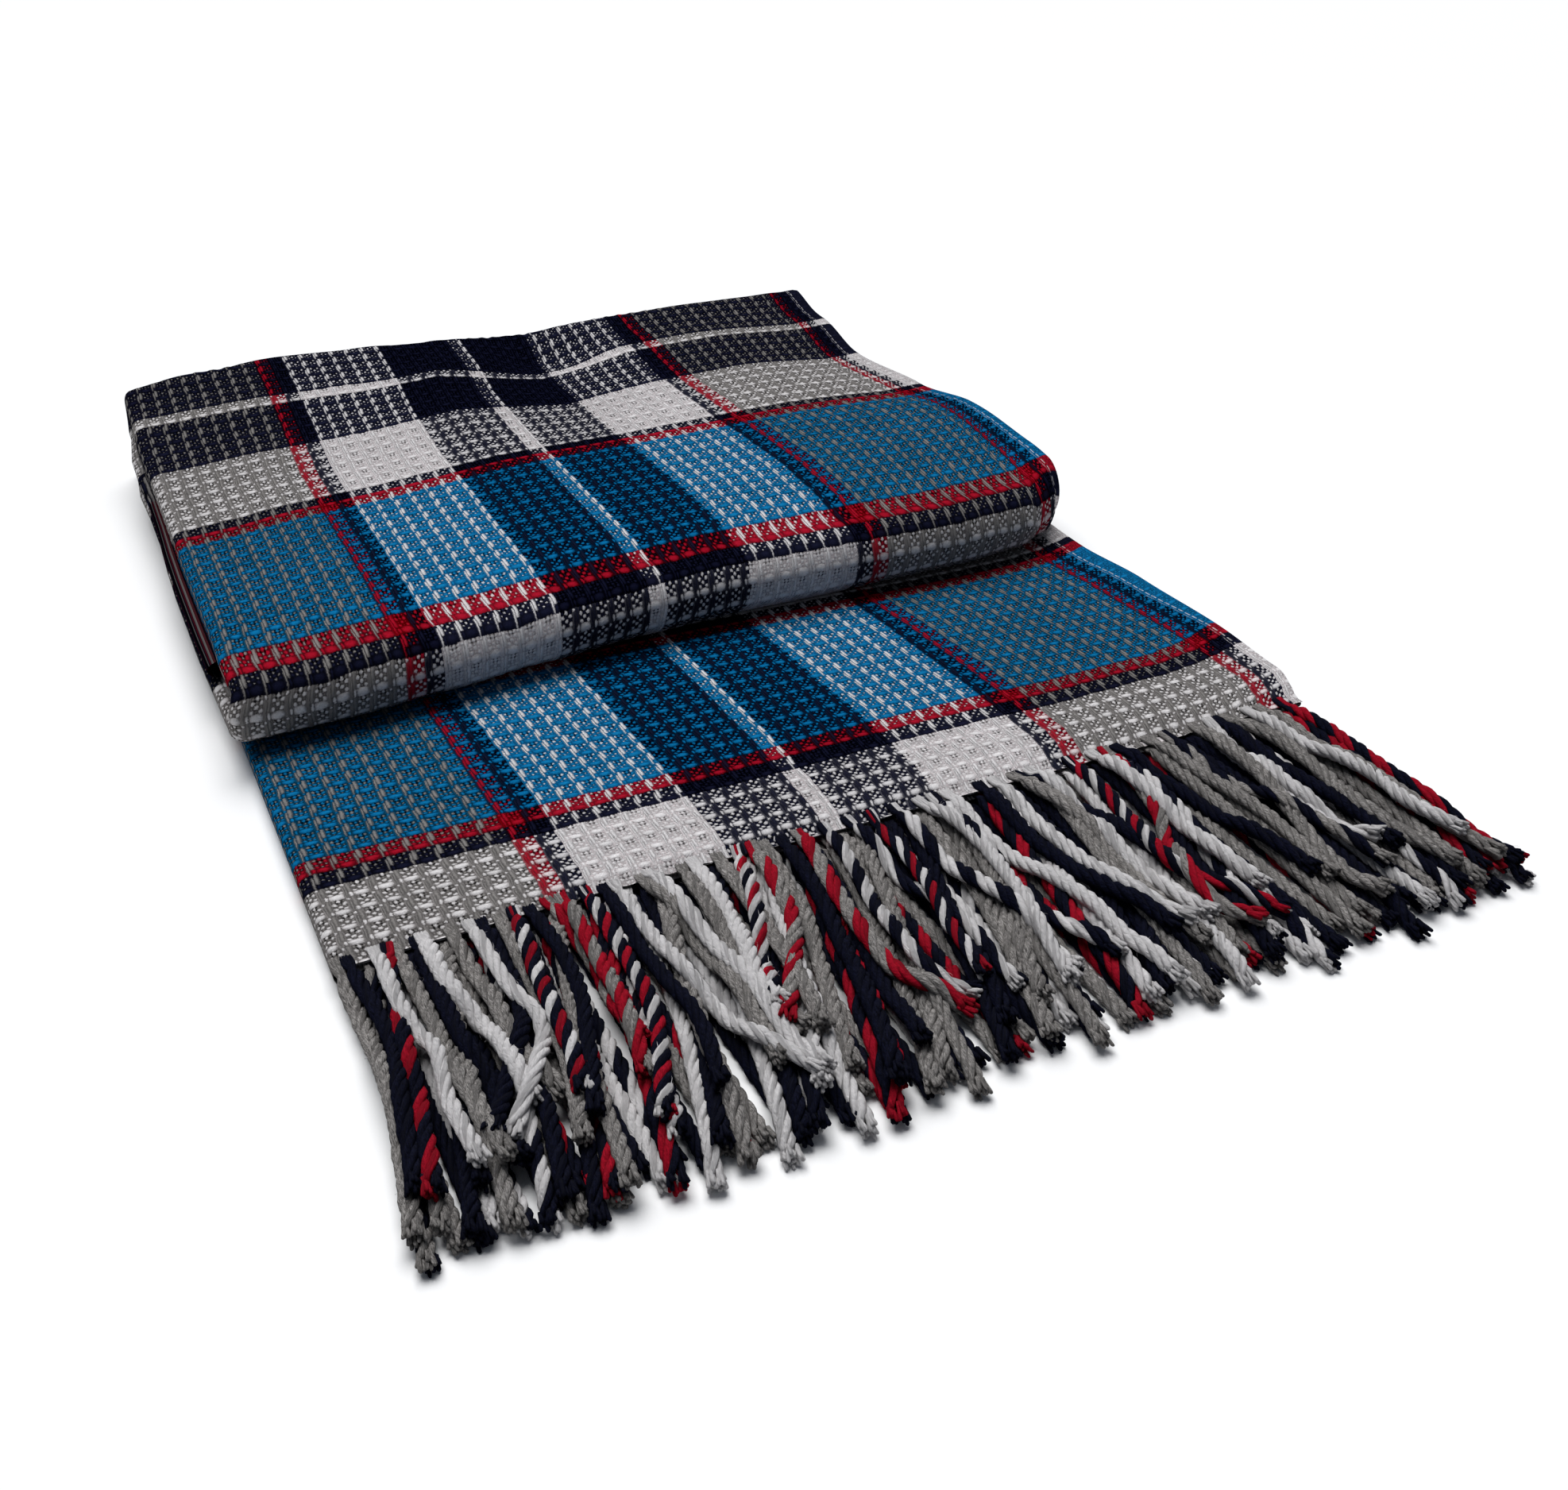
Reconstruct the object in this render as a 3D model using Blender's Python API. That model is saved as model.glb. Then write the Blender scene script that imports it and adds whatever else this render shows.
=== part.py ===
"""Folded woollen-look plaid blanket with a twisted fringe.

The cloth is folded in four along its length, then laid back and forth in four
layers. It is one solid with a back-and-forth section. The fringe of each of the
four plies at the front end is a solid of its own: a narrow strip parted from
the cloth's edge, with its strands.

Units are metres. X runs across the folded cloth from the folded edge to the
hems, Y runs to the rear from the end of the cloth where the fringe starts, and
+Z is up from the surface that the blanket lies on.
"""

import math

import bmesh
import bpy
from mathutils import Vector

MM = 0.001

# Driving sizes of the folded cloth
WIDTH = 385 * MM
LAYER = 9.6 * MM
LAYER_GAP = 0.6 * MM
PLIES = 4
LAYERS = 4
PIECE_GAP = 0.3 * MM
EDGE_ROUND = 5 * MM
EDGE_THINNEST = 0.3
TUCKED_END_SETBACK = 52 * MM

LAYER_STEP = LAYER + LAYER_GAP
FLAT_HEIGHT = LAYERS * LAYER + (LAYERS - 1) * LAYER_GAP

# The height rises from the scale of the lone front layer to that of the stack
RISE_START = 105 * MM
RISE_END = 175 * MM
STACK_ROWS_Y = (175 * MM, 240 * MM, 300 * MM, 363 * MM, 414 * MM, 465 * MM)
# Columns: x across, then the height of the stack at each of STACK_ROWS_Y
STACK_HEIGHT = (
    (0 * MM, (32 * MM, 32 * MM, 34 * MM, 37 * MM, 42 * MM, 47 * MM)),
    (60 * MM, (34 * MM, 35 * MM, 37 * MM, 40 * MM, 45 * MM, 50 * MM)),
    (190 * MM, (36 * MM, 37 * MM, 40 * MM, 43 * MM, 45 * MM, 49 * MM)),
    (300 * MM, (38 * MM, 41 * MM, 43 * MM, 43 * MM, 46 * MM, 49 * MM)),
    (385 * MM, (39 * MM, 41 * MM, 39 * MM, 38 * MM, 42 * MM, 47 * MM)),
)
# Columns: x across, front of the big fold, rear edge of the stack
FOLD_LINES = (
    (0 * MM, 130 * MM, 452 * MM),
    (40 * MM, 131 * MM, 460 * MM),
    (80 * MM, 135 * MM, 465 * MM),
    (120 * MM, 140 * MM, 463 * MM),
    (160 * MM, 144 * MM, 458 * MM),
    (210 * MM, 146 * MM, 453 * MM),
    (270 * MM, 145 * MM, 459 * MM),
    (320 * MM, 145 * MM, 461 * MM),
    (350 * MM, 148 * MM, 462 * MM),
    (370 * MM, 157 * MM, 463 * MM),
    (385 * MM, 172 * MM, 464 * MM),
)
# Columns: x across, y of the line where the cloth ends and the fringe starts
ROOT_LINE = (
    (0 * MM, -2 * MM),
    (40 * MM, 2 * MM),
    (80 * MM, 5 * MM),
    (120 * MM, 3 * MM),
    (160 * MM, -1 * MM),
    (270 * MM, -3 * MM),
    (385 * MM, -4 * MM),
)
# Columns: y, how far the hemmed edge of the lowest layer lies from WIDTH
LOW_EDGE = (
    (0 * MM, -8 * MM),
    (20 * MM, 1 * MM),
    (60 * MM, 4 * MM),
    (110 * MM, 1 * MM),
    (150 * MM, -5 * MM),
    (210 * MM, -3 * MM),
)
# Columns: y, how far the hemmed edge of the layers above lies from WIDTH
HIGH_EDGE = (
    (165 * MM, -4 * MM),
    (205 * MM, 0 * MM),
    (265 * MM, 3 * MM),
    (300 * MM, -5 * MM),
    (355 * MM, -10 * MM),
    (420 * MM, -4 * MM),
    (465 * MM, 0 * MM),
)
# Columns: y, how far the folded edge lies from x = 0 in the middle layers and in the top one
FOLDED_EDGE = (
    (160 * MM, 0 * MM, 0 * MM),
    (200 * MM, -4 * MM, 0 * MM),
    (270 * MM, -5 * MM, 0 * MM),
    (340 * MM, -3 * MM, 0 * MM),
    (390 * MM, -4 * MM, 0 * MM),
    (430 * MM, 0 * MM, 1 * MM),
    (465 * MM, 3 * MM, 3 * MM),
)
# The soft trough that crosses the rear of the top, and the ridge beside it
TROUGH_X, TROUGH_Y, TROUGH_DEPTH = 214 * MM, 412 * MM, 6 * MM
RIDGE_X, RIDGE_Y, RIDGE_HEIGHT = 160 * MM, 412 * MM, 3 * MM
CREASE_SPREAD_X, CREASE_SPREAD_Y = 24 * MM, 20 * MM

# The folded edge's shift dies away across the cloth as this power of the way left
FOLDED_SHIFT_FADE = 8

# Stations across the cloth in millimetres, from its rounded folded edge to its hems
STATIONS = (0, 1.6, 5, 20, 40, 60, 80, 100, 120, 140, 160, 185, 210, 240, 270, 295, 320, 350, 370, 385)
RUN_STEPS_FRONT = 7
RUN_STEPS_STACK = 9
SMALL_FOLD_STEPS = 6
BIG_FOLD_STEPS = 10

# Fringe of each ply, from the top ply down
STRIP_DEPTH = 3 * MM
STRANDS = 22
STRAND_WIDTH = 5.4 * MM
STRAND_HEIGHT = 4.6 * MM
FRINGE_MARGIN = 5 * MM
LENGTH_WAVE = 5 * MM
LENGTH_PHASE = 2.3
OWN_BEND = 0.7 * MM
OWN_BEND_PHASE = 1.7
# Columns: x of the root, how far a strand leans sideways at its tip
LEAN = (
    (0 * MM, -11 * MM),
    (25 * MM, -6 * MM),
    (70 * MM, 3 * MM),
    (150 * MM, 5 * MM),
    (240 * MM, 1 * MM),
    (330 * MM, -4 * MM),
    (385 * MM, -9 * MM),
)
# Columns: name, place in the pitch, length, height of the level it lies on
FRINGES = (
    ("fringe_top", 0.15, 96 * MM, STRAND_HEIGHT + PIECE_GAP),
    ("fringe_second", 0.65, 106 * MM, STRAND_HEIGHT + PIECE_GAP),
    ("fringe_third", 0.40, 116 * MM, 0.0),
    ("fringe_bottom", 0.90, 124 * MM, 0.0),
)
# Columns: distance along the strand, share of the way from ply to lying level
STRAND_RINGS = (
    (2 * MM, 0.0),
    (9 * MM, 0.5),
    (18 * MM, 0.9),
    (34 * MM, 1.0),
    (58 * MM, 1.0),
    (82 * MM, 1.0),
)


def clear_scene():
    for item in list(bpy.data.objects):
        bpy.data.objects.remove(item, do_unlink=True)


def material(name, colour, roughness):
    mat = bpy.data.materials.new(name)
    mat.use_nodes = True
    shader = mat.node_tree.nodes["Principled BSDF"]
    shader.inputs["Base Color"].default_value = (*colour, 1.0)
    shader.inputs["Roughness"].default_value = roughness
    shader.inputs["Metallic"].default_value = 0.0
    return mat


def smooth(value):
    """Smooth step of a value that is held between 0 and 1."""
    value = min(1.0, max(0.0, value))
    return value * value * (3.0 - 2.0 * value)


def blend_table(keys, values, at):
    """Smoothly read a value between the rows of a table."""
    if at <= keys[0]:
        return values[0]
    for low, high, start, end in zip(keys, keys[1:], values, values[1:]):
        if at <= high:
            return start + (end - start) * smooth((at - low) / (high - low))
    return values[-1]


def line_table(keys, values, at):
    """Read a value between the rows of a table along straight lines."""
    if at <= keys[0]:
        return values[0]
    for low, high, start, end in zip(keys, keys[1:], values, values[1:]):
        if at <= high:
            return start + (end - start) * (at - low) / (high - low)
    return values[-1]


def column(table, index):
    return [row[index] for row in table]


def bump(x, y, centre_x, centre_y):
    across = (x - centre_x) / CREASE_SPREAD_X
    along = (y - centre_y) / CREASE_SPREAD_Y
    return math.exp(-across * across - along * along)


def stack_height(x, y):
    """Height of the top of the stack above the surface it lies on."""
    by_column = [blend_table(STACK_ROWS_Y, heights, y) for _, heights in STACK_HEIGHT]
    height = blend_table(column(STACK_HEIGHT, 0), by_column, x)
    height -= TROUGH_DEPTH * bump(x, y, TROUGH_X, TROUGH_Y)
    height += RIDGE_HEIGHT * bump(x, y, RIDGE_X, RIDGE_Y)
    return height


def height_scale(x, y):
    share = smooth((y - RISE_START) / (RISE_END - RISE_START))
    return 1.0 + share * (stack_height(x, y) / FLAT_HEIGHT - 1.0)


def hemmed_shift(y, level):
    low = blend_table(column(LOW_EDGE, 0), column(LOW_EDGE, 1), y)
    high = blend_table(column(HIGH_EDGE, 0), column(HIGH_EDGE, 1), y)
    return low + (high - low) * smooth(level - 0.5)


def folded_shift(y, level):
    middle = blend_table(column(FOLDED_EDGE, 0), column(FOLDED_EDGE, 1), y)
    top = blend_table(column(FOLDED_EDGE, 0), column(FOLDED_EDGE, 2), y)
    return middle * smooth(level - 0.5) + (top - middle) * smooth(level - 2.5)


def arc(centre_y, centre_z, radius, start, end, steps):
    points = []
    for step in range(1, steps):
        angle = math.radians(start + (end - start) * step / steps)
        points.append((centre_y + radius * math.cos(angle), centre_z + radius * math.sin(angle)))
    return points


def run(start_y, end_y, level, steps):
    height = LAYER / 2 + level * LAYER_STEP
    return [(start_y + (end_y - start_y) * step / steps, height) for step in range(steps + 1)]


def centre_line(root_y, front_y, rear_y):
    """Middle of the cloth from its fringed end to its tucked-in end, laid level."""
    small = LAYER_STEP / 2
    big = LAYER_STEP
    front_centre = front_y + big + LAYER / 2
    rear_centre = rear_y - small - LAYER / 2
    tucked_end = front_y + TUCKED_END_SETBACK
    first_turn = LAYER / 2 + small
    front_turn = LAYER / 2 + 2 * LAYER_STEP
    last_turn = LAYER / 2 + 2.5 * LAYER_STEP

    points = run(root_y, front_centre, 0, RUN_STEPS_FRONT)
    points += run(front_centre, rear_centre, 0, RUN_STEPS_STACK)[1:]
    points += arc(rear_centre, first_turn, small, -90, 90, SMALL_FOLD_STEPS)
    points += run(rear_centre, front_centre, 1, RUN_STEPS_STACK)
    points += arc(front_centre, front_turn, big, 270, 90, BIG_FOLD_STEPS)
    points += run(front_centre, rear_centre, 3, RUN_STEPS_STACK)
    points += arc(rear_centre, last_turn, small, 90, -90, SMALL_FOLD_STEPS)
    points += run(rear_centre, tucked_end, 2, RUN_STEPS_STACK)
    return points


def thicken(points, thickness):
    """Closed outline at half the thickness on each side of a line."""
    left, right = [], []
    for index, (y, z) in enumerate(points):
        before = points[max(0, index - 1)]
        after = points[min(len(points) - 1, index + 1)]
        dy, dz = after[0] - before[0], after[1] - before[1]
        length = math.hypot(dy, dz)
        ny, nz = -dz / length * thickness / 2, dy / length * thickness / 2
        left.append((y + ny, z + nz))
        right.append((y - ny, z - nz))
    return left + right[::-1]


def station_outline(x):
    lines_x = column(FOLD_LINES, 0)
    front_y = blend_table(lines_x, column(FOLD_LINES, 1), x)
    rear_y = blend_table(lines_x, column(FOLD_LINES, 2), x)
    root_y = line_table(column(ROOT_LINE, 0), column(ROOT_LINE, 1), x)
    into_edge = min(x, EDGE_ROUND) / EDGE_ROUND
    rounding = EDGE_THINNEST + (1 - EDGE_THINNEST) * math.sqrt(1 - (1 - into_edge) ** 2)
    points = []
    for y, z in thicken(centre_line(root_y, front_y, rear_y), LAYER * rounding):
        share = x / WIDTH
        level = z / LAYER_STEP
        moved_x = x + share * share * hemmed_shift(y, level)
        moved_x += (1 - share) ** FOLDED_SHIFT_FADE * folded_shift(y, level)
        points.append(Vector((moved_x, y, z * height_scale(x, y))))
    return points


def folded_cloth():
    mesh = bmesh.new()
    rings = []
    for station in STATIONS:
        rings.append([mesh.verts.new(point) for point in station_outline(station * MM)])
    count = len(rings[0])
    for ring, following in zip(rings, rings[1:]):
        for index in range(count):
            after = (index + 1) % count
            mesh.faces.new((ring[index], following[index], following[after], ring[after]))
    for ring in (rings[0], rings[-1]):
        for index in range(count // 2 - 1):
            corners = (ring[index], ring[index + 1], ring[count - 2 - index], ring[count - 1 - index])
            mesh.faces.new(corners)
    return finish_mesh(mesh, "folded_cloth", material("plaid_cloth", (0.06, 0.16, 0.30), 0.95))


def root_y_at(x):
    return line_table(column(ROOT_LINE, 0), column(ROOT_LINE, 1), x)


def strand_centre(ply, number, distance, root_x, length):
    """Sideways place of a strand at a distance from its root."""
    share = distance / length
    shared = line_table(column(LEAN, 0), column(LEAN, 1), root_x) * share * share
    own = OWN_BEND * math.sin(OWN_BEND_PHASE * number + ply) * share
    return root_x + shared + own


def strand_length(ply, number, length):
    return length + LENGTH_WAVE * math.sin(LENGTH_PHASE * number + ply)


def strand_rings(ply, number, root_x, ply_middle, ply_height, level, length):
    """Rings of four corners from just outside the strip to the strand's end."""
    own_length = strand_length(ply, number, length)
    half_width = STRAND_WIDTH / 2
    rings = []
    for distance, share in STRAND_RINGS + ((own_length, 1.0),):
        height = ply_height + (STRAND_HEIGHT - ply_height) * share
        middle_z = ply_middle + (level + STRAND_HEIGHT / 2 - ply_middle) * share
        middle_x = strand_centre(ply, number, distance, root_x, own_length)
        y = root_y_at(root_x) - PIECE_GAP - STRIP_DEPTH - distance
        rings.append([
            Vector((middle_x - half_width, y, middle_z - height / 2)),
            Vector((middle_x + half_width, y, middle_z - height / 2)),
            Vector((middle_x + half_width, y, middle_z + height / 2)),
            Vector((middle_x - half_width, y, middle_z + height / 2)),
        ])
    return rings


def fringe(ply, name, place, length, level, mat):
    """Strip parted from the edge of one ply, with its strands fused to it."""
    ply_height = (LAYER - (PLIES - 1) * PIECE_GAP) / PLIES
    bottom = (PLIES - 1 - ply) * (ply_height + PIECE_GAP)
    top = bottom + ply_height
    right_end = WIDTH + LOW_EDGE[0][1]
    pitch = (right_end - 2 * FRINGE_MARGIN) / STRANDS
    roots = [FRINGE_MARGIN + (number + place) * pitch for number in range(STRANDS)]
    cuts = {EDGE_ROUND / 2: None, right_end: None}
    for x in column(ROOT_LINE, 0)[1:-1]:
        if all(abs(x - root) > STRAND_WIDTH for root in roots):
            cuts[x] = None
    for number, root in enumerate(roots):
        cuts[root - STRAND_WIDTH / 2] = number
        cuts[root + STRAND_WIDTH / 2] = None
    places = sorted(cuts)

    mesh = bmesh.new()
    columns = []
    for x in places:
        back = root_y_at(x) - PIECE_GAP
        front = back - STRIP_DEPTH
        corners = ((back, bottom), (front, bottom), (front, top), (back, top))
        columns.append([mesh.verts.new((x, y, z)) for y, z in corners])
    for place_x, ring, following in zip(places, columns, columns[1:]):
        for index in (0, 2, 3):
            after = (index + 1) % 4
            mesh.faces.new((ring[index], following[index], following[after], ring[after]))
        number = cuts[place_x]
        opening = [ring[1], following[1], following[2], ring[2]]
        if number is None:
            mesh.faces.new(opening)
            continue
        before = opening
        for corners in strand_rings(ply, number, roots[number], (bottom + top) / 2,
                                    ply_height, level, length):
            verts = [mesh.verts.new(corner) for corner in corners]
            for index in range(4):
                after = (index + 1) % 4
                mesh.faces.new((before[index], before[after], verts[after], verts[index]))
            before = verts
        mesh.faces.new(before)
    mesh.faces.new(columns[0])
    mesh.faces.new(columns[-1])
    return finish_mesh(mesh, name, mat)


def finish_mesh(mesh, name, mat):
    bmesh.ops.recalc_face_normals(mesh, faces=mesh.faces)
    data = bpy.data.meshes.new(name)
    mesh.to_mesh(data)
    mesh.free()
    data.materials.append(mat)
    data.shade_smooth()
    data.set_sharp_from_angle(angle=math.radians(40))
    item = bpy.data.objects.new(name, data)
    bpy.context.scene.collection.objects.link(item)
    return item


def centre_on_origin(pieces):
    """Put the middle of the underside of the whole blanket on the origin."""
    corners = [vertex.co for piece in pieces for vertex in piece.data.vertices]
    middle_x = (min(co.x for co in corners) + max(co.x for co in corners)) / 2
    middle_y = (min(co.y for co in corners) + max(co.y for co in corners)) / 2
    for piece in pieces:
        piece.location = (-middle_x, -middle_y, 0.0)


def main():
    clear_scene()
    pieces = [folded_cloth()]
    yarn = material("fringe_yarn", (0.30, 0.30, 0.32), 0.95)
    for ply, (name, place, length, level) in enumerate(FRINGES):
        pieces.append(fringe(ply, name, place, length, level, yarn))
    centre_on_origin(pieces)


main()
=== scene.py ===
"""Looks of the folded plaid blanket: its woven cloth, its hems and its twisted fringe.

The cloth is one sheet. It is folded in four along its length, so the sheet's
path across goes hem, top ply, folded edge, bottom ply, middle fold, third ply,
inner fold, second ply, hem. That bundle is laid back and forth in four layers.
The fringe is made of tassels of twisted yarn that lie on each other.

Lengths are in millimetres in the tables and in the part's own places (x from
the folded edge, y from the line where the fringe starts), and become metres
and the frame's places in to_frame().
"""

import math

import bpy
import numpy as np
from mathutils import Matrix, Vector


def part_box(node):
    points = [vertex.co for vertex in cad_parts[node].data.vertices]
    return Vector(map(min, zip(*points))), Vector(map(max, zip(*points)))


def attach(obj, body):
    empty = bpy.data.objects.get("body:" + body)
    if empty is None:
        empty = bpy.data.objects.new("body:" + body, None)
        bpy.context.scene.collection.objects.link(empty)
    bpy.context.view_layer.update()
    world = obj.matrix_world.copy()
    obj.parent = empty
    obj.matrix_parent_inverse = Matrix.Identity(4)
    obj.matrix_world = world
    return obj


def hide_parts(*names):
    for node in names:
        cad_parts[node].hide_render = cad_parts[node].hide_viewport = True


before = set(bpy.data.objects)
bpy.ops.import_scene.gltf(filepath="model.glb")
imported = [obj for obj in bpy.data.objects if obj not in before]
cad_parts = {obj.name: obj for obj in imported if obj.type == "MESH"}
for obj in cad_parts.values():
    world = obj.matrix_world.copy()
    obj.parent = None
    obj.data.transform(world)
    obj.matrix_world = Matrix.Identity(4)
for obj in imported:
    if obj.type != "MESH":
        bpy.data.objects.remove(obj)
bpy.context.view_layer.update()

# Where the part's own places lie in the frame
RIGHT_END_X = 377.0
REAR_END_Y = 465.0
ORIGIN_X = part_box("fringe_bottom")[1].x * 1000.0 - RIGHT_END_X
ORIGIN_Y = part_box("folded_cloth")[1].y * 1000.0 - REAR_END_Y

# Folded cloth, as in the part
WIDTH = 385.0
LAYER = 9.6
LAYER_STEP = 10.2
FLAT_HEIGHT = 40.2
TUCKED_END_SETBACK = 52.0
RISE_START = 105.0
RISE_END = 175.0
STACK_ROWS_Y = (175, 240, 300, 363, 414, 465)
# Columns: x across, then the height of the stack at each of STACK_ROWS_Y
STACK_HEIGHT = (
    (0, (32, 32, 34, 37, 43, 50)),
    (60, (34, 35, 37, 40, 45, 50)),
    (190, (36, 37, 40, 43, 45, 49)),
    (300, (38, 41, 43, 43, 46, 49)),
    (385, (39, 41, 39, 38, 42, 47)),
)
# Columns: x across, front of the big fold, rear edge of the stack
FOLD_LINES = (
    (0, 130, 452), (40, 131, 460), (80, 135, 465), (120, 140, 463), (160, 144, 458), (210, 146, 453),
    (270, 145, 459), (320, 145, 461), (350, 148, 462), (370, 157, 463), (385, 172, 464),
)
# Columns: x across, y of the line where the cloth ends and the fringe starts
ROOT_LINE = ((0, -3), (40, -2), (80, -1), (120, -1), (160, -3), (270, -4), (385, -4))
# Columns: y, how far the hemmed edge lies from WIDTH in the lowest layer, then in those above
LOW_EDGE = ((0, -8), (20, 1), (60, 4), (110, 1), (150, -5), (210, -3))
HIGH_EDGE = ((165, -4), (205, 0), (265, 3), (300, -5), (355, -10), (420, -4), (465, 0))
# Columns: y, how far the folded edge lies from x = 0 in the middle layers, then in the top one
FOLDED_EDGE = (
    (160, -4, -1), (200, -5, 0), (270, -5, 0), (340, -3, 0), (390, -4, 0), (430, 0, 1), (465, 3, 3),
)
TROUGH_X, TROUGH_Y, TROUGH_DEPTH = 214.0, 412.0, 6.0
RIDGE_X, RIDGE_Y, RIDGE_HEIGHT = 160.0, 412.0, 3.0
CREASE_SPREAD_X, CREASE_SPREAD_Y = 24.0, 20.0
FOLDED_SHIFT_FADE = 8

# Weave: size of one waffle cell, and how it lies on the layers
CELL_ACROSS = 7.5
CELL_ALONG = 9.4
LOW_CELLS_SHOWN = 19.75
FOLD_CELL, FOLD_CELL_Y = 82.8, 179.5
FIRST_HIGH_CELL, LAST_HIGH_CELL = 74.0, 116.0
SAMPLES_PER_CELL = 4
LENGTH_SAMPLES = 2400
LAST_PLACE = 6.999
REAR_STEPS, SECOND_STEPS, TUCKED_STEPS = 8, 10, 9
TUCKED_CELL_STEP = 3.1
RELIEF = 0.42
FOLDED_EDGE_RELIEF = 0.4
ACROSS_RIDGE = 0.8
RIDGE_SHIFT_ACROSS, RIDGE_SHIFT_ALONG = 0.2, 0.13
END_DIP, END_DIP_CELLS = 2.0, 0.7

# How the stripes lie on the cloth: rows of waffles, where each is reached along the sheet
LOW_ROWS = (0, 6, 8, 19.4, 30)
# Columns: cells across, cells along at each of LOW_ROWS
LOW_ROWS_AT = (
    (4, (-1.3, 3.95, 5.8, 16, 25.3)),
    (14, (-1.4, 3.85, 5.6, 15.6, 24.9)),
    (27, (-1.45, 3.8, 5.6, 15.25, 24.4)),
    (34, (-1.55, 3.7, 5.55, 15, 24)),
    (39, (-1.7, 3.55, 5.3, 14.8, 23.8)),
    (46, (-1.75, 3.6, 5.35, 14.75, 23.7)),
    (48.5, (-1.5, 3.95, 5.75, 15, 24)),
    (51, (-1.1, 4.5, 6.5, 15.7, 24.6)),
)
HIGH_ROWS = (0, 6, 7, 8, 10, 14, 19.4, 20.2, 21, 27, 32, 33, 48)
# Columns: cells across, cells along at each of HIGH_ROWS
HIGH_ROWS_AT = (
    (4, (71.5, 77.7, 79.05, 81.6, 84.1, 87.9, 92.7, 93.5, 94.4, 101.1, 106.4, 107.5, 122.5)),
    (14, (72.5, 78.7, 80, 82.1, 84.6, 88.4, 93.4, 94.2, 95.1, 101.2, 106.3, 107.4, 122.4)),
    (20, (73.2, 79.4, 80.8, 82.7, 85.2, 89, 93.9, 94.7, 95.5, 101.9, 106.3, 107, 122)),
    (27, (73.7, 79.9, 81.2, 83.1, 85.4, 89.1, 94, 94.7, 95.4, 100.1, 104.2, 105.2, 121)),
    (34, (73.4, 79.6, 80.8, 82.9, 85.2, 88.9, 93.7, 94.4, 95.2, 101.3, 106, 107.1, 122.1)),
    (42, (73.2, 79.4, 80.5, 82.5, 84.9, 88.8, 93.9, 94.6, 95.2, 101.8, 106.4, 107.3, 122.3)),
    (48, (73.6, 79.8, 80.9, 82.8, 85.2, 89, 94, 94.7, 95.3, 101.8, 106.4, 107.3, 122.3)),
    (51, (74.8, 81.2, 82.5, 83.8, 86, 89.7, 94.5, 95.2, 95.8, 102.2, 106.8, 107.7, 122.7)),
)
ROWS_TO_TOP = 82.0
# How many cells the stripes lie to the right, at cells across DRIFT_AT
DRIFT_AT = (0, 5, 9.5, 11, 17.4, 23, 28.6, 35, 37, 42, 48, 50, 51.3)
# Columns: cells along, drift at each of DRIFT_AT
DRIFTS = (
    (1.7, (-0.3, 0, 0.4, 0.35, 0.55, 0.42, 0.3, 0.5, 0.4, 0.5, 0.75, 0.7, 0.6)),
    (6.5, (-0.45, -0.2, 0.35, 0.35, 0.4, 0.37, 0.1, 0.15, 0.2, 0.3, 0.4, 0.5, 0.5)),
    (10, (-0.35, -0.1, 0.2, 0.15, 0.2, 0.2, -0.2, -0.1, -0.1, 0, 0.15, 0, 0)),
    (14, (-0.3, -0.15, 0.1, -0.1, 0, 0, -0.4, -0.35, -0.45, -0.3, -0.2, -0.35, -0.35)),
    (76, (-0.6, -0.6, -0.7, -0.75, -0.8, -0.7, -0.9, -0.3, -0.3, 0, 0.2, 0.2, 0.2)),
    (80, (-0.6, -0.55, -0.6, -0.7, -0.3, -0.1, -0.2, 0.1, 0.1, 0.3, 0.4, 0.3, 0.3)),
    (84, (-0.55, -0.5, -0.5, -0.7, -0.1, 0.15, 0.2, 0.4, 0.4, 0.5, 0.65, 0.4, 0.3)),
    (88.5, (-0.5, -0.4, -0.5, -0.7, -0.2, 0, 0.1, 0.3, 0.3, 0.6, 1.2, 0.5, 0.3)),
    (92.3, (-0.5, -0.4, -0.6, -0.7, -0.25, -0.2, -0.3, -0.15, -0.05, 0.5, 1.2, 0.5, 0)),
    (98, (-0.5, -0.5, -0.6, -0.65, -0.3, -0.15, -0.7, -0.1, 0, 0.3, 0.7, 0, -0.3)),
    (103.5, (-0.35, -0.35, -0.15, -0.3, 0, -0.15, -1, -0.1, 0.1, 0.5, 1, 0.2, -0.2)),
    (109.5, (-0.2, -0.15, 0.1, -0.05, 0.35, 0.2, -0.4, -0.2, -0.15, 0.4, 0.9, 0.2, -0.2)),
)

# Height in the layer of each ply's face, measured from the layer's middle
TOP_FACE = 4.5
BOTTOM_FACE = -4.7
THIRD_FACE = -0.2
SECOND_FACE = 2.3
HEM_CELL = 50.0
HEM_TURN = 9.0
UPPER_HEM_RADIUS, LOWER_HEM_RADIUS = 0.95, 0.9
FOLDED_EDGE_ROUND = 4.6
MIDDLE_FOLD_INSET = 2.6
INNER_FOLD_X = 8.0
COARSE_START, COARSE_STEP = 15.0, 30.0
LOWEST_Z = 0.05

# Photograph's camera, in the part's own places
CAMERA_AT = (-45.68, -413.2, 330.0)
CAMERA_FORWARD = (0.370622, 0.764769, -0.527036)
CAMERA_LENS = 37.72
SENSOR_WIDTH = 36.0

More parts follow.
